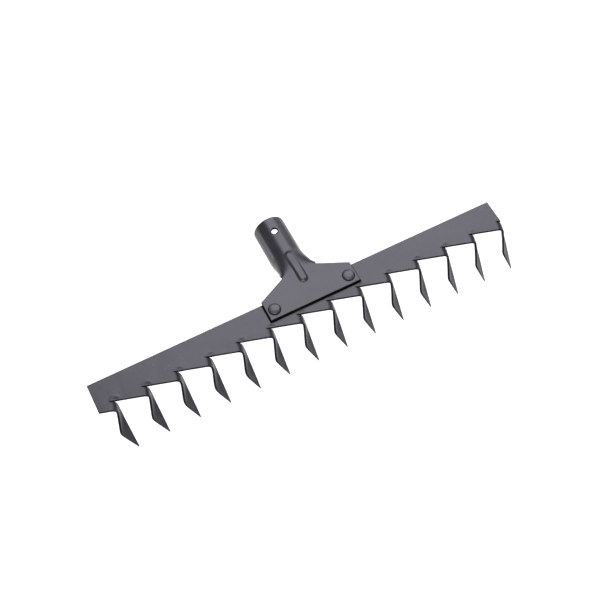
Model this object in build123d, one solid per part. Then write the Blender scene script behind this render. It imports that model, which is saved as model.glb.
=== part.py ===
"""Garden rake head: one pressed steel strip with folded teeth, and a riveted handle socket.

Millimetres. X runs along the strip, +Y points up the handle, +Z is the outer face of the strip.
The origin is the centre of the socket's mouth, on the axis of the handle.
"""
from build123d import *
from math import cos, pi, radians, sin, tan
import os

os.makedirs("parts", exist_ok=True)

# ---- driving dimensions -------------------------------------------------------------------------

# Strip and teeth
tooth_count = 14
tooth_pitch = 30.0
strip_sheet = 2.0           # sheet thickness of the strip and the teeth
strip_depth = 24.5          # from the line of tooth corners to the strip's back edge
step_drop = 7.65            # how far each slanted step falls below the corner line
step_back = 5.15            # how far the low end of a step lies behind the next tooth corner
fold_inset = 3.0            # how far back along the step the high end of a fold lies
fold_angle = 75.0           # angle through which each tooth is folded down from the strip
fold_radius = 4.5           # inside radius of that fold
plain_start = 18.0          # strip left before the first tooth's corner
end_margin = 1.5            # how far short of the last tooth's corner the strip ends
knee_offset = (-9.3, -20.9, -20.1)      # outer corner of a tooth, from its corner on the strip
tip_offset = (0.9, -28.4, -45.0)        # point of a tooth, from its corner on the strip
knee_share = 0.43           # where the knee's level meets the straight edge of the tooth
tip_width = 1.0
tip_sheet = 0.8

# Socket: a flat plate, a flared neck and a rolled tube, all one sheet
socket_sheet = 3.0
handle_bore = 25.0          # bore of the rolled tube, for a handle of the same size
tube_drop = 2.5             # how far the top of the tube lies below the top of the plate
seam_gap = 1.6              # open joint along the underside of the tube
mouth_distance = 100.0      # from the line of tooth corners to the short lip of the tube
mouth_slant = 7.0           # degrees by which the tube's mouth leans out over its top
tube_length = 33.0          # full round part of the tube, up to its short lip
neck_length = 28.0          # flared part between the tube and the plate
plate_width = 90.0
plate_setback = 5.4         # from the line of tooth corners to the plate's front edge
plate_side = 20.5           # straight side of the plate
neck_clearance = 1.7        # how far the neck stands out beyond the tube on each side
neck_fold = 0.3             # share of the neck's length in which the sides fold down
side_start = 13.0           # from the middle of the sheet to where the sides fold down at the plate
side_end = 8.0              # the same at the tube
neck_spread = 2.4           # power with which the sheet widens along the neck
neck_shares = [0, 0.12, 0.25, 0.4, 0.6, 0.8, 1]     # stations along the neck
corner_radius = 1.0

# Stiffening bead along the middle of the socket
bead_length = 36.0
bead_width = 8.6
bead_height = 1.6
bead_start = 26.7           # from the line of tooth corners to the bead's front end
bead_rounding = 1.0         # radius along its top edge

# Screw hole through the top of the tube
screw_hole = 6.5
screw_setback = 11.5        # from the tube's short lip to the middle of the hole

# Rivets
rivet_spacing = 75.0
rivet_setback = 14.2        # from the line of tooth corners to the rivets
rivet_shank = 6.0
rivet_head = 11.0
rivet_head_height = 2.4
rivet_tail = 9.5
rivet_tail_height = 1.6

# ---- derived sizes ------------------------------------------------------------------------------

bore_radius = handle_bore / 2
tube_radius = bore_radius + socket_sheet
sheet_middle = bore_radius + socket_sheet / 2
plate_top = tube_radius + tube_drop
strip_top = plate_top - socket_sheet
strip_bottom = strip_top - strip_sheet
corner_y = -mouth_distance
strip_back = corner_y + strip_depth
tube_start = -tube_length
neck_start = tube_start - neck_length
neck_half_width = tube_radius + neck_clearance
rivet_y = corner_y + rivet_setback

step_run = tooth_pitch - step_back
step_direction = Vector(step_run, -step_drop, 0).normalized()
low_from_corner = Vector(-step_back, -step_drop, 0)
high_from_corner = step_direction * -fold_inset
fold_line = low_from_corner - high_from_corner
fold_direction = fold_line.normalized()
fold_outward = Vector(-fold_direction.Y, fold_direction.X, 0)
fold_tangent = fold_radius * tan(radians(fold_angle) / 2)
fold_shift = step_direction * (fold_tangent / step_direction.dot(fold_outward))


def tooth_corner(index):
    """Corner where a tooth's straight edge meets the next step, on the underside of the strip.

    The points of the teeth, not these corners, are centred on the handle.
    """
    x = (index - (tooth_count - 1) / 2) * tooth_pitch - tip_offset[0]
    return Vector(x, corner_y, strip_bottom)


def fold_ends(index):
    """Low and high ends of the line where the strip starts to bend into a tooth."""
    low = tooth_corner(index) + low_from_corner - fold_shift
    return low, low - fold_line


def upright(section, direction):
    """Unit vector across the sheet, square to a section line and to the tooth's length."""
    return direction.cross(section).normalized()


def quad(corner_a, corner_b, across_a, across_b):
    """Four-sided section face from two corners of the inner face and the steps to the outer face."""
    points = [corner_a, corner_b, corner_b + across_b, corner_a + across_a]
    return Face(Wire.make_polygon(points, close=True))


# ---- strip and teeth ----------------------------------------------------------------------------

def strip_plate():
    """Flat strip with its slanted steps, cut along the lines where the teeth start to bend."""
    left = tooth_corner(0).X - plain_start
    first_low, _ = fold_ends(0)
    rise = (first_low.X - left) * step_drop / step_run
    outline = [(left, strip_back), (left, first_low.Y + rise)]
    for index in range(tooth_count):
        low, high = fold_ends(index)
        outline.append((low.X, low.Y))
        outline.append((high.X, high.Y))
    right = tooth_corner(tooth_count - 1).X - end_margin
    last_x, last_y = outline[-1]
    outline.append((right, last_y - (right - last_x) * step_drop / step_run))
    outline.append((right, strip_back))
    wire = Wire.make_polygon([Vector(x, y, strip_bottom) for x, y in outline], close=True)
    return extrude(Face(wire), amount=strip_sheet, dir=(0, 0, 1))


def tooth_bend(low, high):
    """Curved root of a tooth: the sheet turned about an axis below the strip."""
    section = quad(high, low, Vector(0, 0, strip_sheet), Vector(0, 0, strip_sheet))
    axis = Axis(high - Vector(0, 0, fold_radius), -fold_direction)
    return revolve(section, axis=axis, revolution_arc=fold_angle)


def tooth_blade(index, low, high):
    """Tapered, slightly twisted blade from the end of the bend to the point."""
    angle = radians(fold_angle)
    outward = fold_outward * sin(angle) + Vector(0, 0, cos(angle))
    centre_drop = Vector(0, 0, fold_radius)
    root_high = high - centre_drop + outward * fold_radius
    root_low = low - centre_drop + outward * fold_radius
    corner = tooth_corner(index)
    knee = corner + Vector(*knee_offset)
    tip = corner + Vector(*tip_offset)
    edge_point = root_high + (tip - root_high) * knee_share
    knee_across = upright(knee - edge_point, tip - edge_point)
    if knee_across.dot(outward) < 0:
        knee_across = -knee_across
    sideways = (edge_point - knee).normalized()
    tip_low = tip - sideways * tip_width / 2
    tip_high = tip + sideways * tip_width / 2
    root = quad(root_high, root_low, outward * strip_sheet, outward * strip_sheet)
    middle = quad(edge_point, knee, knee_across * strip_sheet, knee_across * strip_sheet)
    point = quad(tip_high, tip_low, knee_across * tip_sheet, knee_across * tip_sheet)
    return loft([root, middle], ruled=True) + loft([middle, point], ruled=True)


def rivet_positions():
    return [(-rivet_spacing / 2, rivet_y), (rivet_spacing / 2, rivet_y)]


def rivet_holes(low_z, high_z):
    """Both rivet holes as one cutting shape."""
    holes = Part()
    for x, y in rivet_positions():
        centre = Pos(x, y, (low_z + high_z) / 2)
        holes += centre * Cylinder(rivet_shank / 2, high_z - low_z + 2)
    return holes


def rake_head():
    head = strip_plate()
    for index in range(tooth_count):
        low, high = fold_ends(index)
        head = head + tooth_bend(low, high) + tooth_blade(index, low, high)
    return head - rivet_holes(strip_bottom, strip_top)


# ---- socket -------------------------------------------------------------------------------------

def ease(share):
    """Smooth step from 0 to 1."""
    share = min(1, max(0, share))
    return share * share * (3 - 2 * share)


def neck_top(share):
    """Top of the sheet along the neck; share is 0 at the plate and 1 at the tube."""
    return plate_top - tube_drop * ease(share)


def neck_radii(share):
    """Middle radii of the sheet's crown and of its folded sides, and where the sides begin."""
    crown = sheet_middle / ease(share)
    start = side_start + (side_end - side_start) * share
    turn = sin(start / crown)
    reach = sheet_middle + neck_clearance * (1 - share) ** 2
    side = (reach - crown * turn) / (1 - turn)
    return crown, side / ease(share / neck_fold), start


def curved_path(points):
    """Arc through three points, or a line where the sheet is flat."""
    first, middle, last = points
    if abs(first.Z - last.Z) + abs(first.Z - middle.Z) < 1e-9:
        return Edge.make_line(first, last)
    return Edge.make_three_point_arc(first, middle, last)


def sheet_section(share, half_width, rise):
    """Cross-section of the sheet along the neck, or of a layer that stands out of it by a rise."""
    y = neck_start + neck_length * share
    middle = neck_top(share) - socket_sheet / 2

    def flat_point(along, across):
        return Vector(along, y, middle + across)

    def curled_point(along, across):
        crown, side, start = neck_radii(share)
        sign = -1 if along < 0 else 1
        turn = min(abs(along), start) / crown
        x, z = crown * sin(turn), crown * (cos(turn) - 1)
        rest = max(0, abs(along) - start) / side
        x += side * (sin(turn + rest) - sin(turn))
        z += side * (cos(turn + rest) - cos(turn))
        turn += rest
        return Vector(sign * (x + across * sin(turn)), y, middle + z + across * cos(turn))

    point = flat_point if share == 0 else curled_point
    start = side_start + (side_end - side_start) * share
    inner, outer = rise - socket_sheet / 2, rise + socket_sheet / 2
    runs = [(-half_width, -start), (-start, start), (start, half_width)]
    across = [[point(place, inner) for place in (a, (a + b) / 2, b)] for a, b in runs]
    back = [[point(place, outer) for place in (b, (a + b) / 2, a)] for a, b in reversed(runs)]
    edges = [curved_path(points) for points in across]
    edges.append(Edge.make_line(point(half_width, inner), point(half_width, outer)))
    edges += [curved_path(points) for points in back]
    edges.append(Edge.make_line(point(-half_width, outer), point(-half_width, inner)))
    return Face(Wire(edges))


def neck_section(share):
    """Section of the whole sheet, wide enough at the tube to close it."""
    full_half_width = pi * sheet_middle - seam_gap / 2
    half_width = neck_half_width + (full_half_width - neck_half_width) * share ** neck_spread
    return sheet_section(share, half_width, 0)


def socket_tube():
    """Rolled tube with its open seam, long enough for the mouth to be trimmed to a slant."""
    overhang = 2 * tube_radius * tan(radians(mouth_slant))
    tube = extrude(neck_section(1), amount=tube_length + overhang + 1, dir=(0, 1, 0))
    cutter_size = 6 * tube_radius
    cutter = Box(cutter_size, cutter_size, cutter_size, align=(Align.CENTER, Align.MIN, Align.CENTER))
    short_lip = Pos(0, 0, -tube_radius)
    return tube - short_lip * Rot(-mouth_slant, 0, 0) * cutter


def socket_neck():
    return loft([neck_section(share) for share in neck_shares])


def socket_plate():
    """Flat trapezoid that lies on the strip, with shoulders running up to the neck."""
    half = plate_width / 2
    front = corner_y + plate_setback
    outline = [
        (-half, front),
        (half, front),
        (half, front + plate_side),
        (neck_half_width, neck_start),
        (-neck_half_width, neck_start),
        (-half, front + plate_side),
    ]
    wire = Wire.make_polygon([Vector(x, y, plate_top - socket_sheet) for x, y in outline], close=True)
    plate = extrude(Face(wire), amount=socket_sheet, dir=(0, 0, 1))
    corners = plate.edges().filter_by(Axis.Z)
    outer_corners = [edge for edge in corners if abs(edge.center().X) > neck_half_width + 1]
    return fillet(outer_corners, corner_radius)


def raised_section(share):
    """Section of a layer that stands out of the sheet by the height of the bead."""
    return sheet_section(share, side_start + 1, bead_height)


def on_bead_top(edge):
    """Whether an edge runs round the rim of the bead's top, and not across it."""
    centre = edge.center()
    share = min(1, max(0, (centre.Y - neck_start) / neck_length))
    seams = [abs(centre.Y - y) < 0.01 for y in (neck_start, tube_start)]
    return centre.Z > neck_top(share) + bead_height / 2 and not any(seams)


def socket_bead():
    """Raised rib with rounded ends that follows the sheet from the plate over the neck to the tube."""
    front = corner_y + bead_start
    reach = bead_length / 2
    layer = loft([raised_section(share) for share in neck_shares])
    layer += extrude(raised_section(1), amount=reach, dir=(0, 1, 0))
    layer += extrude(raised_section(0), amount=reach, dir=(0, -1, 0))
    outline = Pos(0, front + reach, 0) * Rot(0, 0, 90) * SlotOverall(bead_length, bead_width)
    rib = layer & extrude(outline, amount=plate_top + 2 * bead_height, dir=(0, 0, 1))
    top_edges = [edge for edge in rib.edges() if on_bead_top(edge)]
    return fillet(top_edges, bead_rounding)


def handle_socket():
    socket = socket_plate() + socket_neck() + socket_tube() + socket_bead()
    drill = Pos(0, -screw_setback, tube_radius) * Cylinder(screw_hole / 2, tube_radius)
    return socket - drill - rivet_holes(strip_top, plate_top)


# ---- rivets -------------------------------------------------------------------------------------

def dome(diameter, height):
    """Cap of a sphere standing on the XY plane."""
    radius = (diameter * diameter / 4 + height * height) / (2 * height)
    ball = Pos(0, 0, height - radius) * Sphere(radius)
    half_space = Box(3 * radius, 3 * radius, 3 * radius, align=(Align.CENTER, Align.CENTER, Align.MIN))
    return ball & half_space


def rivet(x, y):
    """Solid rivet: domed head on the plate, shank through both sheets, flat-set tail below."""
    grip = plate_top - strip_bottom
    shank = Cylinder(rivet_shank / 2, grip, align=(Align.CENTER, Align.CENTER, Align.MIN))
    head = Pos(0, 0, grip) * dome(rivet_head, rivet_head_height)
    tail = Rot(180, 0, 0) * dome(rivet_tail, rivet_tail_height)
    return Pos(x, y, strip_bottom) * (shank + head + tail)


# ---- export -------------------------------------------------------------------------------------

left_position, right_position = rivet_positions()
parts = {
    "rake_head": rake_head(),
    "handle_socket": handle_socket(),
    "rivet_left": rivet(*left_position),
    "rivet_right": rivet(*right_position),
}
for name, shape in parts.items():
    export_step(shape, f"parts/{name}.step")
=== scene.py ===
"""Looks of a garden rake head: pressed steel sheet with satin dark paint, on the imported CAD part."""

import math
import random

import bpy
import numpy as np
from mathutils import Matrix, Vector, kdtree, noise


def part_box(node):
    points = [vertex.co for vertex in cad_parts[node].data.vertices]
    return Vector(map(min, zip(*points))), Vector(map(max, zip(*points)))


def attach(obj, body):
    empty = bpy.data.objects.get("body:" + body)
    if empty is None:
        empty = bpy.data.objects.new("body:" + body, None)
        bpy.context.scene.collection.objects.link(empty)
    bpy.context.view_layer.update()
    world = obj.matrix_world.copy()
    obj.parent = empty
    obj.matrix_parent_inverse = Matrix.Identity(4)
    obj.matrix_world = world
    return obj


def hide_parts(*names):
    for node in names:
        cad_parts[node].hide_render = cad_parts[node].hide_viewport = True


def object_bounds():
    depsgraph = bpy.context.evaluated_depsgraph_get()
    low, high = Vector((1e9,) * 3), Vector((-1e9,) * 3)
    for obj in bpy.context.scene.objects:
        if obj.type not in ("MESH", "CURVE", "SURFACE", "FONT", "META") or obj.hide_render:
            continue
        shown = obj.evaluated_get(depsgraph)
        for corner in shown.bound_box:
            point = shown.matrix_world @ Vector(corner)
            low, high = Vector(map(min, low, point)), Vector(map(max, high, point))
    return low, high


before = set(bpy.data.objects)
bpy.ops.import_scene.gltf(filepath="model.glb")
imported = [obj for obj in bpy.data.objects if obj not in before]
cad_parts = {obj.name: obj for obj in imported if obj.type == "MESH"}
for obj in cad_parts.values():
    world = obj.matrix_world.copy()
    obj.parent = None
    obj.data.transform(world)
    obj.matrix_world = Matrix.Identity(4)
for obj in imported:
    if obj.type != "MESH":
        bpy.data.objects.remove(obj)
cad_low, cad_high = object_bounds()

MM = 0.001
random.seed(14)

# ---- sizes in millimetres, as in the CAD part ---------------------------------------------------

TOOTH_COUNT = 14
TOOTH_PITCH = 30.0
STRIP_SHEET = 2.0
STRIP_DEPTH = 24.5
STEP_DROP = 7.65
STEP_BACK = 5.15
FOLD_INSET = 3.0
FOLD_ANGLE = math.radians(75)
FOLD_RADIUS = 4.5
PLAIN_START = 18.0
END_MARGIN = 1.5
KNEE_OFFSET = np.array((-9.3, -20.9, -20.1))
TIP_OFFSET = np.array((0.9, -28.4, -45.0))
KNEE_SHARE = 0.43
TIP_WIDTH = 1.0
TIP_SHEET = 0.8

SOCKET_SHEET = 3.0
HANDLE_BORE = 25.0
TUBE_DROP = 2.5
SEAM_GAP = 1.6
MOUTH_DISTANCE = 100.0
MOUTH_SLANT = math.radians(7)
TUBE_LENGTH = 33.0
NECK_LENGTH = 28.0
PLATE_WIDTH = 90.0
PLATE_SETBACK = 5.4
PLATE_SIDE = 20.5
NECK_CLEARANCE = 1.7
NECK_FOLD = 0.3                  # share of the neck in which its sides fold down
SIDE_START = 13.0                # from the middle of the sheet to the folded side, at the plate
SIDE_END = 8.0                   # the same at the tube
NECK_SPREAD = 2.4
CORNER_RADIUS = 1.0

BEAD_LENGTH = 36.0
BEAD_WIDTH = 8.6
BEAD_HEIGHT = 1.6
BEAD_START = 26.7
SCREW_HOLE = 6.5
SCREW_SETBACK = 11.5

RIVET_SPACING = 75.0
RIVET_SETBACK = 14.2
RIVET_SHANK = 6.0
RIVET_HEAD = 11.0
RIVET_HEAD_HEIGHT = 2.4
RIVET_TAIL = 9.5
RIVET_TAIL_HEIGHT = 1.6

BORE_RADIUS = HANDLE_BORE / 2
TUBE_RADIUS = BORE_RADIUS + SOCKET_SHEET
SHEET_MIDDLE = BORE_RADIUS + SOCKET_SHEET / 2
PLATE_TOP = TUBE_RADIUS + TUBE_DROP
STRIP_TOP = PLATE_TOP - SOCKET_SHEET
STRIP_BOTTOM = STRIP_TOP - STRIP_SHEET
CORNER_Y = -MOUTH_DISTANCE
STRIP_BACK = CORNER_Y + STRIP_DEPTH
TUBE_START = -TUBE_LENGTH
NECK_START = TUBE_START - NECK_LENGTH
NECK_HALF_WIDTH = TUBE_RADIUS + NECK_CLEARANCE
FULL_HALF_WIDTH = math.pi * SHEET_MIDDLE - SEAM_GAP / 2

UP = np.array((0.0, 0.0, 1.0))


def unit(vector):
    return vector / np.linalg.norm(vector)


def smooth(value):
    """Smooth step from 0 to 1."""
    value = min(1.0, max(0.0, value))
    return value * value * (3 - 2 * value)


STEP_DIRECTION = unit(np.array((TOOTH_PITCH - STEP_BACK, -STEP_DROP, 0.0)))
FOLD_LINE = np.array((-STEP_BACK, -STEP_DROP, 0.0)) + STEP_DIRECTION * FOLD_INSET
FOLD_DIRECTION = unit(FOLD_LINE)
FOLD_OUTWARD = np.array((-FOLD_DIRECTION[1], FOLD_DIRECTION[0], 0.0))
FOLD_TANGENT = FOLD_RADIUS * math.tan(FOLD_ANGLE / 2)
FOLD_SHIFT = STEP_DIRECTION * (FOLD_TANGENT / STEP_DIRECTION.dot(FOLD_OUTWARD))


def tooth_corner(index):
    x = (index - (TOOTH_COUNT - 1) / 2) * TOOTH_PITCH - TIP_OFFSET[0]
    return np.array((x, CORNER_Y, STRIP_BOTTOM))


def fold_ends(index):
    """Low and high ends of the line where a tooth starts to bend, on the underside of the strip."""
    low = tooth_corner(index) + (-STEP_BACK, -STEP_DROP, 0) - FOLD_SHIFT
    return low, low - FOLD_LINE


# ---- sheet metal from a surface of quads --------------------------------------------------------

RIM_STRIPS = 5                   # strips of faces from the outer surface round the edge to the inner
GRAIN_STRETCH = 0.1              # the grain of flat sheet is drawn out ten times along Y
FAR_FROM_EDGE = 99.0             # edge distance of a piece without a sheared edge, in millimetres


class Sheet:
    """Outer surface of a piece of sheet metal: points with a thickness, and quads seen from outside."""

    def __init__(self):
        self.points, self.thickness, self.grain, self.quads = [], [], [], []
        self.straight = {}

    def add(self, point, thickness, grain=(0.0, 0.0)):
        self.points.append(np.array(point, float))
        self.thickness.append(thickness)
        self.grain.append(grain)
        return len(self.points) - 1

    def span(self, rows):
        """Quads between rows of points; rows run left to right and follow from near to far."""
        for near, far in zip(rows, rows[1:]):
            self.quads.extend(zip(near, near[1:], far[1:], far))


def point_normals(points, quads):
    quads = np.array(quads)
    corners = points[quads]
    face = np.cross(corners[:, 2] - corners[:, 0], corners[:, 3] - corners[:, 1])
    normals = np.zeros_like(points)
    for k in range(4):
        np.add.at(normals, quads[:, k], face)
    return normals / np.maximum(np.linalg.norm(normals, axis=1), 1e-12)[:, None]


def border_outward(points, normals, quads):
    """Border edges of the surface, and for each border point the way out across the border."""
    edges = {}
    for quad in quads:
        for a, b in zip(quad, quad[1:] + quad[:1]):
            edges[(a, b)] = True
    border = [edge for edge in edges if (edge[1], edge[0]) not in edges]
    outward = {}
    for a, b in border:
        across = unit(np.cross(points[b] - points[a], normals[a] + normals[b]))
        for point in (a, b):
            outward.setdefault(point, []).append(across)
    result = {}
    for point, ways in outward.items():
        mean = unit(sum(ways))
        result[point] = mean / max(0.6, float(mean.dot(ways[0])))
    return border, result


def thicken(sheet, rounding):
    """Vertices and faces of the whole piece: outer and inner surface, and a rim with rounded edges."""
    points = np.array(sheet.points)
    quads = [tuple(int(i) for i in quad) for quad in sheet.quads]
    normals = point_normals(points, quads)
    border, outward = border_outward(points, normals, quads)
    depth = np.array(sheet.thickness)
    inward = -normals * depth[:, None]
    for point, way in sheet.straight.items():
        inward[point] = way
    outer, inner = points.copy(), points + inward
    rows = {}
    vertices = []
    slope = 1 - math.sqrt(0.5)
    for point, out in outward.items():
        size = min(rounding, 0.4 * depth[point])
        down = unit(inward[point])
        full = float(np.linalg.norm(inward[point]))
        steps = ((slope, size * slope), (0, size), (0, full - size), (slope, full - size * slope))
        outer[point] = points[point] - out * size
        inner[point] = points[point] - out * size + inward[point]
        start = 2 * len(points) + len(vertices)
        for back, drop in steps:
            vertices.append(points[point] - out * size * back + down * drop)
        rows[point] = [point] + [start + k for k in range(4)] + [len(points) + point]
    faces = list(quads)
    faces += [tuple(len(points) + i for i in reversed(quad)) for quad in quads]
    rim = []
    for a, b in border:
        for k in range(RIM_STRIPS):
            rim.append((rows[b][k], rows[a][k], rows[a][k + 1], rows[b][k + 1]))
    grain = list(sheet.grain) * 2
    for point in outward:
        grain += [sheet.grain[point]] * 4
    everything = np.vstack([outer, inner, np.array(vertices)])
    return everything, faces, rim, grain, points[sorted(outward)]


def make_mesh(name, vertices, faces, rim=(), grain=None, border=None):
    """Mesh object in metres with smooth faces; rim faces take the second material."""
    mesh = bpy.data.meshes.new(name)
    mesh.from_pydata([tuple(v) for v in np.array(vertices) * MM], [], list(faces) + list(rim))
    mesh.update()
    piece = bpy.data.objects.new(name, mesh)
    bpy.context.scene.collection.objects.link(piece)
    mesh.polygons.foreach_set("use_smooth", [True] * len(mesh.polygons))
    cut_faces = [1 if k % RIM_STRIPS in (1, 2, 3) else 0 for k in range(len(rim))]
    material_index = [0] * len(faces) + cut_faces
    mesh.polygons.foreach_set("material_index", material_index)
    layer = mesh.attributes.new("grain", "FLOAT_VECTOR", "POINT")
    values = [(0.0, 0.0, 0.0)] * len(mesh.vertices)
    if grain is not None:
        values = [(g[0], g[1], g[2] if len(g) > 2 else 0.0) for g in grain]
    layer.data.foreach_set("vector", [c for v in values for c in v])
    distance = [FAR_FROM_EDGE] * len(mesh.vertices)
    if border is not None:
        tree = kdtree.KDTree(len(border))
        for k, point in enumerate(border):
            tree.insert(point, k)
        tree.balance()
        distance = [tree.find(Vector(v))[2] for v in np.array(vertices)]
    layer = mesh.attributes.new("edge_distance", "FLOAT", "POINT")
    layer.data.foreach_set("value", distance)
    return piece


# ---- strip and teeth ----------------------------------------------------------------------------

LEFT_COLUMNS, FOLD_COLUMNS, STEP_COLUMNS, RIGHT_COLUMNS = 12, 8, 20, 5
STRIP_ROWS, BEND_ROWS, BLADE_ROWS = 24, 8, 26
ROUNDED_TEETH = (2, 3, 4)        # teeth whose outer corner was ground round
CREST_RADIUS, CREST_WIDTH, CREST_HEIGHT = 3.4, 1.1, 0.34
CREST_SHIFT = (5.2, -0.6)        # from the high end of the fold to the corner of the gap
DENT_RADIUS, DENT_DEPTH = 2.4, 0.2
WAVE_DEPTH, WAVE_LENGTH = 0.22, 55.0
BACK_LEAD = 3.5                  # how far the columns lean to the left at the back edge


def strip_outline():
    """Columns along the front: point on the outline, x at the back edge, and the fold's column."""
    columns = []
    per_pitch = FOLD_COLUMNS + STEP_COLUMNS
    left = tooth_corner(0)[0] - PLAIN_START
    first, _ = fold_ends(0)
    for k in range(LEFT_COLUMNS):
        share = k / LEFT_COLUMNS
        x = left + (first[0] - left) * share
        y = first[1] + (first[0] - x) * STEP_DROP / (TOOTH_PITCH - STEP_BACK)
        columns.append((x, y, left + (first[0] - BACK_LEAD - left) * share, None))
    for index in range(TOOTH_COUNT):
        low, high = fold_ends(index)
        start = low[0] - BACK_LEAD
        for k in range(FOLD_COLUMNS + 1):
            x, y, _ = low + (high - low) * k / FOLD_COLUMNS
            columns.append((x, y, start + TOOTH_PITCH * k / per_pitch, (index, k)))
        if index < TOOTH_COUNT - 1:
            following, _ = fold_ends(index + 1)
            for k in range(1, STEP_COLUMNS):
                x, y, _ = high + (following - high) * k / STEP_COLUMNS
                columns.append((x, y, start + TOOTH_PITCH * (FOLD_COLUMNS + k) / per_pitch, None))
    right = tooth_corner(TOOTH_COUNT - 1)[0] - END_MARGIN
    back_start = columns[-1][2]
    for k in range(1, RIGHT_COLUMNS + 1):
        x, y, _ = high + STEP_DIRECTION * ((right - high[0]) / STEP_DIRECTION[0]) * k / RIGHT_COLUMNS
        columns.append((x, y, back_start + (right - back_start) * k / RIGHT_COLUMNS, None))
    return columns


def press_marks(x, y):
    """Height of the pressed crest and dent round each fold's high end, and the strip's slow waves."""
    height = 0.0
    index = round((x + TIP_OFFSET[0]) / TOOTH_PITCH + (TOOTH_COUNT - 1) / 2)
    for k in (index, index + 1):
        if 0 <= k < TOOTH_COUNT:
            _, high = fold_ends(k)
            dx, dy = x - high[0] - CREST_SHIFT[0], y - high[1] - CREST_SHIFT[1]
            distance = math.hypot(dx, dy)
            facing = smooth((dy / max(distance, 0.01) + 0.35) / 0.9)
            scale = 0.75 + 0.5 * noise.noise(Vector((k * 3.7, 1.3, 0.0)))
            crest = math.exp(-(((distance - CREST_RADIUS) / CREST_WIDTH) ** 2))
            height += scale * CREST_HEIGHT * facing * crest
            height -= DENT_DEPTH * math.exp(-((math.hypot(dx, dy) / DENT_RADIUS) ** 2))
    wave = noise.noise(Vector((x / WAVE_LENGTH, y / WAVE_LENGTH, 4.2)))
    return height - WAVE_DEPTH * (0.5 + 0.5 * wave)


def blade_rows(index, low, high):
    """Rows of outer-face points from the end of the bend to the tip, with the sheet's thickness."""
    outward = FOLD_OUTWARD * math.sin(FOLD_ANGLE) + UP * math.cos(FOLD_ANGLE)
    centre = UP * -FOLD_RADIUS
    root_high = high + centre + outward * FOLD_RADIUS
    root_low = low + centre + outward * FOLD_RADIUS
    corner = tooth_corner(index)
    knee = corner + KNEE_OFFSET
    tip = corner + TIP_OFFSET
    edge_point = root_high + (tip - root_high) * KNEE_SHARE
    knee_across = unit(np.cross(tip - edge_point, knee - edge_point))
    if knee_across.dot(outward) < 0:
        knee_across = -knee_across
    sideways = unit(edge_point - knee)
    tip_low = tip - sideways * TIP_WIDTH / 2
    tip_high = tip + sideways * TIP_WIDTH / 2
    turn = random.uniform(-0.12, 0.12)
    hollow = random.uniform(0.25, 0.5)
    rows = []
    for k in range(1, BLADE_ROWS + 1):
        share = k / BLADE_ROWS
        if share <= KNEE_SHARE:
            part = share / KNEE_SHARE
            a, b = root_low + (knee - root_low) * part, root_high + (edge_point - root_high) * part
            across, depth = unit(outward + (knee_across - outward) * smooth(part)), STRIP_SHEET
        else:
            part = (share - KNEE_SHARE) / (1 - KNEE_SHARE)
            a, b = knee + (tip_low - knee) * part, edge_point + (tip_high - edge_point) * part
            across, depth = knee_across, STRIP_SHEET + (TIP_SHEET - STRIP_SHEET) * part
        sag = math.sin(math.pi * min(1, share * 1.15)) if share * 1.15 < 1 else 0.0
        row = []
        for c in range(FOLD_COLUMNS + 1):
            u = c / FOLD_COLUMNS
            bow = -hollow * 4 * u * (1 - u) * sag + turn * (u - 0.5) * 2 * sag
            row.append(a + (b - a) * u + across * (depth + bow))
        rows.append((row, depth, share))
    return rows


def ease(rows, fixed, passes):
    """Rounds the run of rows lengthwise and keeps the first ones and the last in place."""
    for _ in range(passes):
        before = rows.copy()
        rows[fixed:-1] = 0.25 * before[fixed - 1:-2] + 0.5 * before[fixed:-1] + 0.25 * before[fixed + 1:]
    return rows


def add_tooth(sheet, index, fold_row):
    """Bend and blade of one tooth, joined to the strip along its fold row."""
    low, high = fold_ends(index)
    bend = []
    outer_radius = FOLD_RADIUS + STRIP_SHEET
    for k in range(1, BEND_ROWS + 1):
        angle = FOLD_ANGLE * k / BEND_ROWS
        shift = FOLD_OUTWARD * outer_radius * math.sin(angle)
        rise = UP * (outer_radius * math.cos(angle) - FOLD_RADIUS)
        normal = FOLD_OUTWARD * math.sin(angle) + UP * math.cos(angle)
        row = [low + (high - low) * c / FOLD_COLUMNS + shift + rise for c in range(FOLD_COLUMNS + 1)]
        bend.append([point + normal * press_marks(point[0], point[1]) for point in row])
    blade = blade_rows(index, low, high)
    start = np.array([[sheet.points[i] for i in fold_row]])
    rows = np.vstack([start, np.array(bend), np.array([row for row, _, _ in blade])])
    rows = ease(rows, 2, 9 if index in ROUNDED_TEETH else 2)
    depths = [STRIP_SHEET] * (BEND_ROWS + 1) + [depth for _, depth, _ in blade]
    numbers = [fold_row]
    along = 0.0
    for k in range(1, len(rows)):
        along += float(np.linalg.norm(rows[k][4] - rows[k - 1][4]))
        width = float(np.linalg.norm(rows[k][-1] - rows[k][0]))
        numbers.append([
            sheet.add(point, depths[k], ((c / FOLD_COLUMNS - 0.5) * width, along, index + 1.0))
            for c, point in enumerate(rows[k])
        ])
    sheet.span(numbers[::-1])


def head_steel():
    sheet = Sheet()
    columns = strip_outline()
    rows = [[] for _ in range(STRIP_ROWS + 1)]
    folds = {}
    for x, y, back_x, fold in columns:
        for k in range(STRIP_ROWS + 1):
            t = k / STRIP_ROWS
            share = 0.6 * t + 0.4 * t * t
            px, py = x + (back_x - x) * share, y + (STRIP_BACK - y) * share
            spot = (px, py, STRIP_TOP + press_marks(px, py))
            number = sheet.add(spot, STRIP_SHEET, (px, py * GRAIN_STRETCH, 0.0))
            rows[k].append(number)
        if fold:
            folds.setdefault(fold[0], []).append(rows[0][-1])
    sheet.span(rows)
    for index in range(TOOTH_COUNT):
        add_tooth(sheet, index, folds[index])
    return make_mesh("head_steel", *thicken(sheet, 0.3))


# ---- socket: plate, neck and rolled tube --------------------------------------------------------

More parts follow.
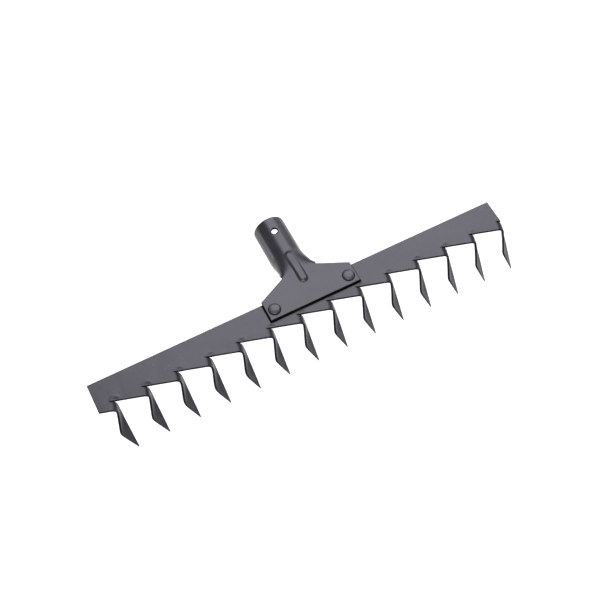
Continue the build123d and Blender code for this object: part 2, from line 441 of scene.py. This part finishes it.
SOCKET_COLUMNS = 124
HOLE_RING, HOLE_REACH = 4, 8      # columns from the hole's middle to its edge, and to the plain grid


def neck_top(share):
    """Top of the sheet along the neck; share is 0 at the plate and 1 at the tube."""
    return PLATE_TOP - TUBE_DROP * smooth(share)


def neck_radii(share):
    """Middle radii of the sheet's crown and of its folded sides, and where the sides begin."""
    crown = SHEET_MIDDLE / smooth(share)
    start = SIDE_START + (SIDE_END - SIDE_START) * share
    turn = math.sin(start / crown)
    reach = SHEET_MIDDLE + NECK_CLEARANCE * (1 - share) ** 2
    side = (reach - crown * turn) / (1 - turn)
    return crown, side / smooth(share / NECK_FOLD), start


def half_width(y):
    """Half width of the flattened sheet at one place along the socket."""
    front = CORNER_Y + PLATE_SETBACK
    if y >= TUBE_START:
        return FULL_HALF_WIDTH
    if y >= NECK_START:
        share = (y - NECK_START) / NECK_LENGTH
        return NECK_HALF_WIDTH + (FULL_HALF_WIDTH - NECK_HALF_WIDTH) * share ** NECK_SPREAD
    shoulder = front + PLATE_SIDE
    if y >= shoulder:
        share = (y - NECK_START) / (shoulder - NECK_START)
        return NECK_HALF_WIDTH + (PLATE_WIDTH / 2 - NECK_HALF_WIDTH) * share
    near = max(0.0, 1 - (y - front) / CORNER_RADIUS)
    return PLATE_WIDTH / 2 - CORNER_RADIUS * (1 - math.sqrt(max(0.0, 1 - near * near)))


def bead_height(x, y):
    """Height of the pressed rib over the plain sheet."""
    reach = (BEAD_LENGTH - BEAD_WIDTH) / 2
    middle = CORNER_Y + BEAD_START + BEAD_LENGTH / 2
    distance = math.hypot(x, max(0.0, abs(y - middle) - reach)) / (BEAD_WIDTH / 2)
    return BEAD_HEIGHT * (1 - smooth((distance - 0.58) / 0.5))


def socket_point(w, y):
    """Point of the outer face from its place on the flattened sheet."""
    share = min(1.0, max(0.0, (y - NECK_START) / NECK_LENGTH))
    lift = SOCKET_SHEET / 2 + bead_height(w, y)
    middle = neck_top(share) - SOCKET_SHEET / 2
    if share < 0.001:
        return np.array((w, y, middle + lift))
    crown, side, start = neck_radii(share)
    turn = min(abs(w), start) / crown
    x, z = crown * math.sin(turn), crown * (math.cos(turn) - 1)
    rest = max(0.0, abs(w) - start) / side
    x += side * (math.sin(turn + rest) - math.sin(turn))
    z += side * (math.cos(turn + rest) - math.cos(turn))
    turn += rest
    return np.array((math.copysign(x + lift * math.sin(turn), w), y, middle + z + lift * math.cos(turn)))


def mouth_lift(w, y):
    """How far the slanted mouth draws the sheet out beyond its short lip."""
    near = max(0.0, 1 + y / 5)
    z = TUBE_RADIUS * math.cos(w / SHEET_MIDDLE)
    return near * (z + TUBE_RADIUS) * math.tan(MOUTH_SLANT)


def socket_stations():
    """Places of the rows from the plate's front edge to the mouth, even round the screw hole."""
    front = CORNER_Y + PLATE_SETBACK
    shoulder = front + PLATE_SIDE
    stations = [front + CORNER_RADIUS * share for share in (0, 0.12, 0.35, 0.65, 1)]
    spacing = 2 * FULL_HALF_WIDTH / SOCKET_COLUMNS * TUBE_RADIUS / SHEET_MIDDLE
    hole = -SCREW_SETBACK
    runs = [
        (stations[-1], shoulder, 24),
        (shoulder, NECK_START, 15),
        (NECK_START, TUBE_START, 28),
        (TUBE_START, hole - HOLE_REACH * spacing, 30),
        (hole - HOLE_REACH * spacing, hole + HOLE_REACH * spacing, 2 * HOLE_REACH),
        (hole + HOLE_REACH * spacing, 0, 8),
    ]
    for start, end, count in runs:
        stations += [start + (end - start) * k / count for k in range(1, count + 1)]
    return stations, spacing


def hole_point(column, row, spacing):
    """Place of a grid point near the screw hole, drawn onto rings round the hole."""
    ring = max(abs(column), abs(row))
    if ring == 0:
        return 0.0, 0.0
    if abs(column) == ring:
        way = (math.cos(math.pi / 4 * abs(row) / ring), math.sin(math.pi / 4 * abs(row) / ring))
    else:
        way = (math.sin(math.pi / 4 * abs(column) / ring), math.cos(math.pi / 4 * abs(column) / ring))
    way = (math.copysign(way[0], column), math.copysign(way[1], row))
    share = max(0.0, (ring - HOLE_RING) / (HOLE_REACH - HOLE_RING))
    hole_radius = SCREW_HOLE / 2
    radius = hole_radius * min(1.0, ring / HOLE_RING) + (HOLE_REACH * spacing - hole_radius) * share
    blend = share ** 1.5
    x = way[0] * radius * (1 - blend) + column * spacing * blend
    y = way[1] * radius * (1 - blend) + row * spacing * blend
    return x, y


def socket_steel():
    sheet = Sheet()
    stations, spacing = socket_stations()
    hole_row = min(range(len(stations)), key=lambda k: abs(stations[k] + SCREW_SETBACK))
    middle = SOCKET_COLUMNS // 2
    rows = []
    for k, station in enumerate(stations):
        row = []
        for c in range(SOCKET_COLUMNS + 1):
            w, y = (2 * c / SOCKET_COLUMNS - 1) * half_width(station), station
            near_hole = max(abs(c - middle), abs(k - hole_row))
            if near_hole < HOLE_REACH:
                x, dy = hole_point(c - middle, k - hole_row, spacing)
                w, y = math.asin(x / TUBE_RADIUS) * SHEET_MIDDLE, dy - SCREW_SETBACK
            point = socket_point(w, y)
            point[1] += mouth_lift(w, y)
            dip = noise.noise(Vector((point[0] / 32, point[1] / 32, 9.1)))
            point[2] -= 0.12 * (0.5 + 0.5 * dip) * smooth((NECK_START + 8 - y) / 12)
            number = sheet.add(point, SOCKET_SHEET, (w, y * GRAIN_STRETCH, 0.0))
            if near_hole == HOLE_RING:
                inner = math.sqrt(BORE_RADIUS ** 2 - point[0] ** 2)
                sheet.straight[number] = np.array((0.0, 0.0, inner - point[2]))
            row.append(number)
        rows.append(row)
    sheet.span(rows)
    inside = {
        rows[k][c]
        for k in range(hole_row - HOLE_RING, hole_row + HOLE_RING + 1)
        for c in range(middle - HOLE_RING, middle + HOLE_RING + 1)
    }
    sheet.quads = [quad for quad in sheet.quads if not all(i in inside for i in quad)]
    drop_unused(sheet)
    return make_mesh("socket_steel", *thicken(sheet, 0.4))


def drop_unused(sheet):
    """Leaves out points that no quad uses."""
    used = sorted({i for quad in sheet.quads for i in quad})
    number = {old: new for new, old in enumerate(used)}
    sheet.points = [sheet.points[i] for i in used]
    sheet.thickness = [sheet.thickness[i] for i in used]
    sheet.grain = [sheet.grain[i] for i in used]
    sheet.quads = [tuple(number[i] for i in quad) for quad in sheet.quads]
    sheet.straight = {number[i]: way for i, way in sheet.straight.items() if i in number}


# ---- rivets -------------------------------------------------------------------------------------

RIVET_SEGMENTS = 40


def rivet_profile():
    """Radius and height above the plate from the middle of the head to the middle of the tail."""
    grip = PLATE_TOP - STRIP_BOTTOM
    head, tail, shank = RIVET_HEAD / 2, RIVET_TAIL / 2, RIVET_SHANK / 2
    profile = []
    for k in range(1, 10):
        angle = math.pi / 2 * k / 9
        height = RIVET_HEAD_HEIGHT * (0.3 + 0.7 * math.cos(angle) ** 0.6)
        profile.append((head * math.sin(angle), height))
    profile += [(head, 0.2), (head * 0.98, 0.03), (shank, 0.0), (shank, -grip)]
    for k in range(0, 6):
        angle = math.pi / 2 * (1 - k / 6)
        profile.append((tail * math.sin(angle), -grip - RIVET_TAIL_HEIGHT * math.cos(angle) - 0.02))
    return profile, -grip - RIVET_TAIL_HEIGHT


def rivet_head(name, node):
    """Hammered rivet with a low dome that is not quite round, its shank and its tail."""
    low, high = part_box(node)
    centre_x, centre_y = (low.x + high.x) / 2 / MM, (low.y + high.y) / 2 / MM
    profile, bottom = rivet_profile()
    lean = random.uniform(-0.05, 0.05), random.uniform(-0.05, 0.05)
    offset = random.uniform(0, 50)
    vertices = [(centre_x, centre_y, PLATE_TOP + RIVET_HEAD_HEIGHT * 0.985)]
    for radius, height in profile:
        for k in range(RIVET_SEGMENTS):
            angle = 2 * math.pi * k / RIVET_SEGMENTS
            x, y = math.cos(angle), math.sin(angle)
            wobble = 1 - 0.035 * (1 + noise.noise(Vector((x * 0.9, y * 0.9, offset))))
            reach = radius * (wobble if radius > RIVET_SHANK / 2 + 0.01 or height > 0 else 1)
            tilt = (lean[0] * x + lean[1] * y) * radius * 0.4 if height > 0.2 else 0
            dent = 0.12 * (noise.noise(Vector((x * radius / 3, y * radius / 3, offset + 7))) - 0.4)
            lift = min(RIVET_HEAD_HEIGHT * 0.985, height + tilt + (dent if height > 0.3 else 0))
            vertices.append((centre_x + x * reach, centre_y + y * reach, PLATE_TOP + lift))
    vertices.append((centre_x, centre_y, PLATE_TOP + bottom))
    faces = []

    def ring(r, k):
        return 1 + r * RIVET_SEGMENTS + k % RIVET_SEGMENTS

    last = len(vertices) - 1
    for k in range(RIVET_SEGMENTS):
        faces.append((0, ring(0, k), ring(0, k + 1)))
        for r in range(len(profile) - 1):
            faces.append((ring(r, k), ring(r + 1, k), ring(r + 1, k + 1), ring(r, k + 1)))
        faces.append((ring(len(profile) - 1, k), last, ring(len(profile) - 1, k + 1)))
    return make_mesh(name, vertices, faces)


# ---- paint --------------------------------------------------------------------------------------

class Nodes:
    """Short ways to add and link shader nodes."""

    def __init__(self, material):
        self.tree = material.node_tree
        self.shader = self.tree.nodes["Principled BSDF"]

    def link(self, source, target):
        self.tree.links.new(source, target)

    def add(self, kind, **values):
        node = self.tree.nodes.new(kind)
        for key, value in values.items():
            setattr(node, key, value)
        return node

    def noise(self, vector, scale, detail=2.0, roughness=0.5):
        node = self.add("ShaderNodeTexNoise")
        node.inputs["Scale"].default_value = scale
        node.inputs["Detail"].default_value = detail
        node.inputs["Roughness"].default_value = roughness
        self.link(vector, node.inputs["Vector"])
        return node.outputs["Fac"]

    def stretch(self, value, low, high, to_low=0.0, to_high=1.0):
        node = self.add("ShaderNodeMapRange", interpolation_type="SMOOTHSTEP")
        self.link(value, node.inputs["Value"])
        names = ("From Min", "From Max", "To Min", "To Max")
        for name, number in zip(names, (low, high, to_low, to_high)):
            node.inputs[name].default_value = number
        return node.outputs["Result"]

    def split(self, vector):
        node = self.add("ShaderNodeSeparateXYZ")
        self.link(vector, node.inputs["Vector"])
        return node.outputs["X"], node.outputs["Y"], node.outputs["Z"]

    def math(self, operation, a, b):
        node = self.add("ShaderNodeMath", operation=operation)
        for socket, value in zip(node.inputs, (a, b)):
            if isinstance(value, (int, float)):
                socket.default_value = value
            else:
                self.link(value, socket)
        return node.outputs["Value"]

    def mix(self, share, a, b):
        node = self.add("ShaderNodeMix", data_type="RGBA")
        self.link(share, node.inputs["Factor"])
        colours = [s for s in node.inputs if s.type == "RGBA"]
        for socket, value in zip(colours, (a, b)):
            if isinstance(value, tuple):
                socket.default_value = (*value, 1.0)
            else:
                self.link(value, socket)
        return [s for s in node.outputs if s.type == "RGBA"][0]

    def bump(self, height, distance, before=None):
        node = self.add("ShaderNodeBump")
        node.inputs["Distance"].default_value = distance
        node.inputs["Strength"].default_value = 1.0
        self.link(height, node.inputs["Height"])
        if before is not None:
            self.link(before, node.inputs["Normal"])
        return node.outputs["Normal"]


STEEL = (0.33, 0.31, 0.29)
PAINTED_SHADE = (0.003, 0.003, 0.003)    # near-black painted shade, matt, in seams and along the strip's front edge


def plate_edge_shadow(n, place):
    """Painted shadow: 1 on the strip close to the plate's edge, a thin dark line in front of the plate."""
    x, y, z = n.split(place)
    beside = n.math("SUBTRACT", n.math("ABSOLUTE", x, 0.0), PLATE_WIDTH / 2 * MM)
    before = n.math("SUBTRACT", (CORNER_Y + PLATE_SETBACK) * MM, y)
    near = n.stretch(n.math("MAXIMUM", beside, before), 0.0007, 0.0015, 1.0, 0.0)
    return n.math("MULTIPLY", near, n.stretch(z, (STRIP_TOP - 1.2) * MM, (STRIP_TOP - 0.6) * MM))


def front_edge_shade(n, place, edge):
    """Painted shade: 1 in a thin line along the front of the strip, where the paint is made near black and
    matt.
    """
    _, y, z = n.split(place)
    front = n.stretch(y, (CORNER_Y + 2) * MM, (CORNER_Y + 4) * MM, 1.0, 0.0)
    above = n.stretch(z, (STRIP_TOP - 1.2) * MM, (STRIP_TOP - 0.6) * MM)
    return n.math("MULTIPLY", n.math("MULTIPLY", front, above), n.stretch(edge, 0.35, 1.1, 0.85, 0.0))


def rivet_ring_shadow(n, place):
    """Painted shadow: 1 on the plate in a thin ring round each rivet head."""
    x, y, z = n.split(place)
    dx = n.math("SUBTRACT", n.math("ABSOLUTE", x, 0.0), RIVET_SPACING / 2 * MM)
    dy = n.math("SUBTRACT", y, (CORNER_Y + RIVET_SETBACK) * MM)
    reach = n.math("SQRT", n.math("ADD", n.math("MULTIPLY", dx, dx), n.math("MULTIPLY", dy, dy)), 0.0)
    near = n.stretch(reach, (RIVET_HEAD / 2 + 0.2) * MM, (RIVET_HEAD / 2 + 0.7) * MM, 1.0, 0.0)
    return n.math("MULTIPLY", near, n.stretch(z, (PLATE_TOP - 1.2) * MM, (PLATE_TOP - 0.6) * MM))


def tooth_shine_shade(n, grain, streaks):
    """Painted shade on the teeth: less shine further down the length of a tooth, and less in streaks along
    the grain; 1 on the strip.
    """
    _, along, tooth = n.split(grain)
    on_tooth = n.stretch(tooth, 0.4, 0.6)
    tip_shade = n.stretch(along, 9.0, 26.0, 0.0, 0.5)
    lines = n.math("MULTIPLY", n.stretch(streaks, 0.35, 0.65), 0.3)
    return n.math("SUBTRACT", 1.0, n.math("MULTIPLY", on_tooth, n.math("ADD", tip_shade, lines)))


def paint(name, dark, light, gloss, wear, shade_lines=None):
    """Satin paint on pressed steel: fine orange peel, slow waves, lengthwise grain, worn edges, and painted
    shade: thin near-black lines and less shine down the teeth.
    """
    material = bpy.data.materials.new(name)
    material.use_nodes = True
    n = Nodes(material)
    place = n.add("ShaderNodeTexCoord").outputs["Object"]
    grain = n.add("ShaderNodeAttribute", attribute_name="grain").outputs["Vector"]
    edge = n.add("ShaderNodeAttribute", attribute_name="edge_distance").outputs["Fac"]
    drawn = n.add("ShaderNodeMapping")
    drawn.inputs["Scale"].default_value = (1.6, 0.09, 7.0)
    n.link(grain, drawn.inputs["Vector"])
    streaks = n.noise(drawn.outputs["Vector"], 1.0, 3.0)
    clouds = n.noise(place, 28.0, 3.0)
    peel = n.noise(place, 850.0, 2.0)
    waves = n.noise(place, 60.0, 1.0)
    chips = n.noise(place, 420.0, 4.0, 0.65)
    near_edge = n.stretch(edge, 0.2, 0.75, 1.0, 0.0)
    patches = n.stretch(n.noise(place, 45.0, 2.0), 0.52, 0.66)
    worn = n.math("MULTIPLY", n.math("MULTIPLY", near_edge, patches), n.stretch(chips, 0.5, 0.58))
    specks = n.stretch(n.noise(place, 700.0, 1.0), 0.77, 0.80)
    bare = n.math("ADD", worn, n.math("MULTIPLY", specks, 0.35))
    mask = n.math("MINIMUM", n.math("MULTIPLY", bare, wear), 1.0)
    colour = n.mix(n.stretch(clouds, 0.3, 0.7), dark, light)
    colour = n.mix(mask, colour, STEEL)
    # painted shade on the teeth: their shine fades towards the tips
    shine = n.math("MULTIPLY", 0.5, tooth_shine_shade(n, grain, streaks))
    # painted shade: near-black lines with less shine by the plate, round the rivets and along the strip's
    # front
    if shade_lines is not None:
        shade_mask = n.math("MAXIMUM", shade_lines(n, place), front_edge_shade(n, place, edge))
        colour = n.mix(shade_mask, colour, PAINTED_SHADE)
        shine = n.math("MULTIPLY", shine, n.math("SUBTRACT", 1.0, shade_mask))
    n.link(colour, n.shader.inputs["Base Color"])
    n.link(shine, n.shader.inputs["Specular IOR Level"])
    n.link(n.math("MULTIPLY", mask, 0.8), n.shader.inputs["Metallic"])
    cloudy = n.stretch(clouds, 0.25, 0.75, gloss - 0.03, gloss + 0.03)
    rough = n.math("ADD", cloudy, n.stretch(streaks, 0.3, 0.7, -0.02, 0.03))
    n.link(n.math("ADD", rough, n.math("MULTIPLY", mask, 0.1)), n.shader.inputs["Roughness"])
    normal = n.bump(waves, 0.00035)
    normal = n.bump(streaks, 0.00003, normal)
    normal = n.bump(peel, 0.000018, normal)
    normal = n.bump(n.math("MULTIPLY", mask, -1.0), 0.00006, normal)
    n.link(normal, n.shader.inputs["Normal"])
    n.shader.inputs["IOR"].default_value = 1.5
    return material


def sheared_edge(name):
    """Cut edge of the sheet: thin matt paint over the marks of the shear, made near black as painted shade.
    """
    material = bpy.data.materials.new(name)
    material.use_nodes = True
    n = Nodes(material)
    place = n.add("ShaderNodeTexCoord").outputs["Object"]
    marks = n.noise(place, 600.0, 3.0)
    blotches = n.noise(place, 90.0, 2.0)
    # painted shade: near-black colour on the cut faces
    colour = n.mix(n.stretch(blotches, 0.35, 0.7), (0.003, 0.003, 0.004), (0.008, 0.007, 0.010))
    n.link(colour, n.shader.inputs["Base Color"])
    n.link(n.stretch(marks, 0.3, 0.7, 0.5, 0.68), n.shader.inputs["Roughness"])
    n.link(n.bump(marks, 0.00005), n.shader.inputs["Normal"])
    n.shader.inputs["Specular IOR Level"].default_value = 0.12
    return material


head_paint = paint(
    "head_paint_satin", (0.020, 0.019, 0.025), (0.027, 0.026, 0.034), gloss=0.34, wear=1.0, shade_lines=plate_edge_shadow
)
socket_paint = paint(
    "socket_paint_satin", (0.019, 0.018, 0.023), (0.026, 0.024, 0.031), gloss=0.30, wear=0.7, shade_lines=rivet_ring_shadow
)
rivet_paint = paint(
    "rivet_paint_satin", (0.040, 0.039, 0.047), (0.052, 0.051, 0.060), gloss=0.33, wear=1.2
)
cut_paint = sheared_edge("sheared_edge_paint")


# ---- pieces -------------------------------------------------------------------------------------

def place(piece, node, slot, *materials):
    """Puts a finished piece on the object in place of its CAD node."""
    for material in materials:
        piece.data.materials.append(material)
    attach(piece, "root")
    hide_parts(node)


place(head_steel(), "rake_head", "head_paint", head_paint, cut_paint)
place(socket_steel(), "handle_socket", "socket_paint", socket_paint, cut_paint)
place(rivet_head("rivet_head_left", "rivet_left"), "rivet_left", "rivet_paint", rivet_paint)
place(rivet_head("rivet_head_right", "rivet_right"), "rivet_right", "rivet_paint", rivet_paint)


# ---- floor, lights and camera -------------------------------------------------------------------

FLOOR_GAP = 0.2                  # below the points of the teeth
FLOOR_RADIUS = 6.0
FLOOR_GLOW = 0.3                 # keeps the pale floor even and its shadows soft


def floor():
    mesh = bpy.data.meshes.new("floor")
    rings, segments = (0.0, 0.4, 1.0, 2.5, FLOOR_RADIUS), 64
    z = cad_low.z - FLOOR_GAP
    vertices = [(0.0, 0.0, z)]
    for radius in rings[1:]:
        for k in range(segments):
            angle = 2 * math.pi * k / segments
            vertices.append((radius * math.cos(angle), radius * math.sin(angle), z))
    faces = [(0, 1 + k, 1 + (k + 1) % segments) for k in range(segments)]
    for r in range(len(rings) - 2):
        for k in range(segments):
            a, b = 1 + r * segments + k, 1 + r * segments + (k + 1) % segments
            faces.append((a, a + segments, b + segments, b))
    mesh.from_pydata(vertices, [], faces)
    ground = bpy.data.objects.new("floor", mesh)
    bpy.context.scene.collection.objects.link(ground)
    material = bpy.data.materials.new("floor_pale")
    material.use_nodes = True
    shader = material.node_tree.nodes["Principled BSDF"]
    shader.inputs["Base Color"].default_value = (0.88, 0.88, 0.88, 1)
    shader.inputs["Roughness"].default_value = 0.8
    shader.inputs["Specular IOR Level"].default_value = 0.2
    shader.inputs["Emission Color"].default_value = (1, 1, 1, 1)
    shader.inputs["Emission Strength"].default_value = FLOOR_GLOW
    mesh.materials.append(material)


def softbox(name, direction, distance, width, height, radiance, colour=(1, 1, 1)):
    """Area light that faces the middle of the head."""
    aim = Vector((0.0, -0.07, 0.0))
    light = bpy.data.lights.new(name, "AREA")
    light.shape = "RECTANGLE"
    light.size, light.size_y = width, height
    light.energy = radiance * math.pi * width * height
    light.color = colour
    lamp = bpy.data.objects.new(name, light)
    way = Vector(direction).normalized()
    lamp.location = aim + way * distance
    across = (Vector((1, 0, 0)) - way * way.x).normalized()
    turn = Matrix((across, way.cross(across), way)).transposed()
    lamp.rotation_euler = turn.to_euler()
    lamp.visible_camera = False
    bpy.context.scene.collection.objects.link(lamp)


CAMERA_HEADING = math.radians(26.993)
CAMERA_ELEVATION = math.radians(62.663)
CAMERA_DISTANCE = 0.9001
CAMERA_ROLL = math.radians(-0.472)
CAMERA_LENS = 60.1
AIM = Vector((-0.01241, -0.08659, 0.015))


def camera():
    forward = Vector((
        math.sin(CAMERA_HEADING) * math.cos(CAMERA_ELEVATION),
        math.cos(CAMERA_HEADING) * math.cos(CAMERA_ELEVATION),
        -math.sin(CAMERA_ELEVATION),
    ))
    data = bpy.data.cameras.new("camera")
    data.lens = CAMERA_LENS
    data.sensor_width = 36.0
    eye = bpy.data.objects.new("camera", data)
    turn = (-forward).to_track_quat("Z", "Y").to_matrix().to_4x4()
    spot = Matrix.Translation(AIM - forward * CAMERA_DISTANCE)
    eye.matrix_world = spot @ turn @ Matrix.Rotation(CAMERA_ROLL, 4, "Z")
    bpy.context.scene.collection.objects.link(eye)
    bpy.context.scene.camera = eye


def surroundings(strength):
    world = bpy.data.worlds.new("studio")
    world.use_nodes = True
    background = world.node_tree.nodes["Background"]
    background.inputs["Color"].default_value = (1.0, 0.99, 1.02, 1)
    background.inputs["Strength"].default_value = strength
    bpy.context.scene.world = world
    bpy.context.scene.view_settings.view_transform = "Standard"


floor()
surroundings(0.22)
softbox("back_softbox", (0.28, 0.46, 0.83), 1.3, 1.35, 0.9, 3.9, (1.0, 0.98, 1.09))
softbox("front_softbox", (-0.5, -0.75, 0.9), 2.6, 2.4, 2.4, 3.4)
softbox("left_card", (-0.95, 0.45, -0.12), 0.9, 0.3, 0.2, 3.2)
softbox("right_card", (0.8, 0.62, 0.22), 1.2, 0.35, 0.5, 1.6)
camera()
